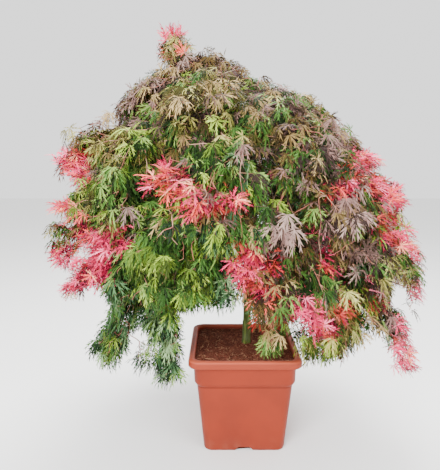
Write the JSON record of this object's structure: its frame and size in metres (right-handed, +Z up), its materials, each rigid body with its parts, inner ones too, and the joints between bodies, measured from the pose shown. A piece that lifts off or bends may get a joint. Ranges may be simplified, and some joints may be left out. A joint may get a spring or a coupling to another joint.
{
  "type": "potted japanese maple",
  "caption": "Weeping laceleaf maple on a slim green stem in a square, ribbed-rim plastic pot, with finely cut leaves in green, lime, mauve and crimson.",
  "frame": {"origin": "centre of the flat underside of the pot, on the ground", "axes": "+Z up along the stem, +X to the right and +Y to the back as seen from the plant's front; the leader tuft leans towards -X"},
  "size_m": [1.0194, 0.8587, 1.1472],
  "materials": {
    "pot": "satin",
    "soil": "matte",
    "trunk_bark": "satin",
    "bough_bark": "matte",
    "leaf_green": "matte",
    "leaf_blue_green": "matte",
    "leaf_lime": "matte",
    "leaf_straw": "matte",
    "leaf_bronze": "matte",
    "leaf_mauve": "matte",
    "leaf_crimson": "matte",
    "leaf_coral": "matte"
  },
  "bodies": {
    "root": {"back_curtain_1": "leaf_green", "back_curtain_2": "leaf_bronze", "back_curtain_3": "leaf_green", "back_curtain_4": "leaf_bronze", "back_curtain_5": "leaf_green", "back_hem_1": "leaf_blue_green", "back_hem_2": "leaf_blue_green", "back_pad_1": "leaf_bronze", "back_pad_2": "leaf_mauve", "back_pad_3": "leaf_straw", "bough_back": "bough_bark", "bough_back_left": "bough_bark", "bough_back_right": "bough_bark", "bough_crest": "bough_bark", "bough_front": "bough_bark", "bough_front_left": "bough_bark", "bough_front_right": "bough_bark", "bough_leader": "bough_bark", "bough_left_high": "bough_bark", "bough_left_low": "bough_bark", "bough_right_high": "bough_bark", "bough_right_low": "bough_bark", "corner_shoulder": "leaf_mauve", "crest_front": "leaf_straw", "crest_front_right": "leaf_green", "crest_left": "leaf_mauve", "crest_middle": "leaf_mauve", "crest_right": "leaf_bronze", "front_curtain": "leaf_lime", "front_flush": "leaf_coral", "front_inner": "leaf_blue_green", "front_left_curtain": "leaf_green", "front_left_upper": "leaf_lime", "front_right_curtain": "leaf_green", "front_right_upper": "leaf_mauve", "front_swag": "leaf_crimson", "front_upper": "leaf_green", "leader_collar": "leaf_bronze", "leader_tuft": "leaf_crimson", "left_arch": "leaf_coral", "left_curtain": "leaf_blue_green", "left_flush_lower": "leaf_coral", "left_flush_middle": "leaf_crimson", "left_flush_upper": "leaf_crimson", "left_low_inner": "leaf_blue_green", "left_low_outer": "leaf_blue_green", "left_shoulder": "leaf_lime", "pot": "pot", "pot_side": "leaf_lime", "pot_sprig": "leaf_lime", "right_crimson_middle": "leaf_crimson", "right_crimson_upper": "leaf_coral", "right_curtain": "leaf_green", "right_long_arm": "leaf_coral", "right_low_arm": "leaf_green", "right_low_flush": "leaf_crimson", "right_low_tips": "leaf_straw", "right_shoulder": "leaf_mauve", "soil": "soil", "trunk": "trunk_bark"}
  },
  "joints": []
}
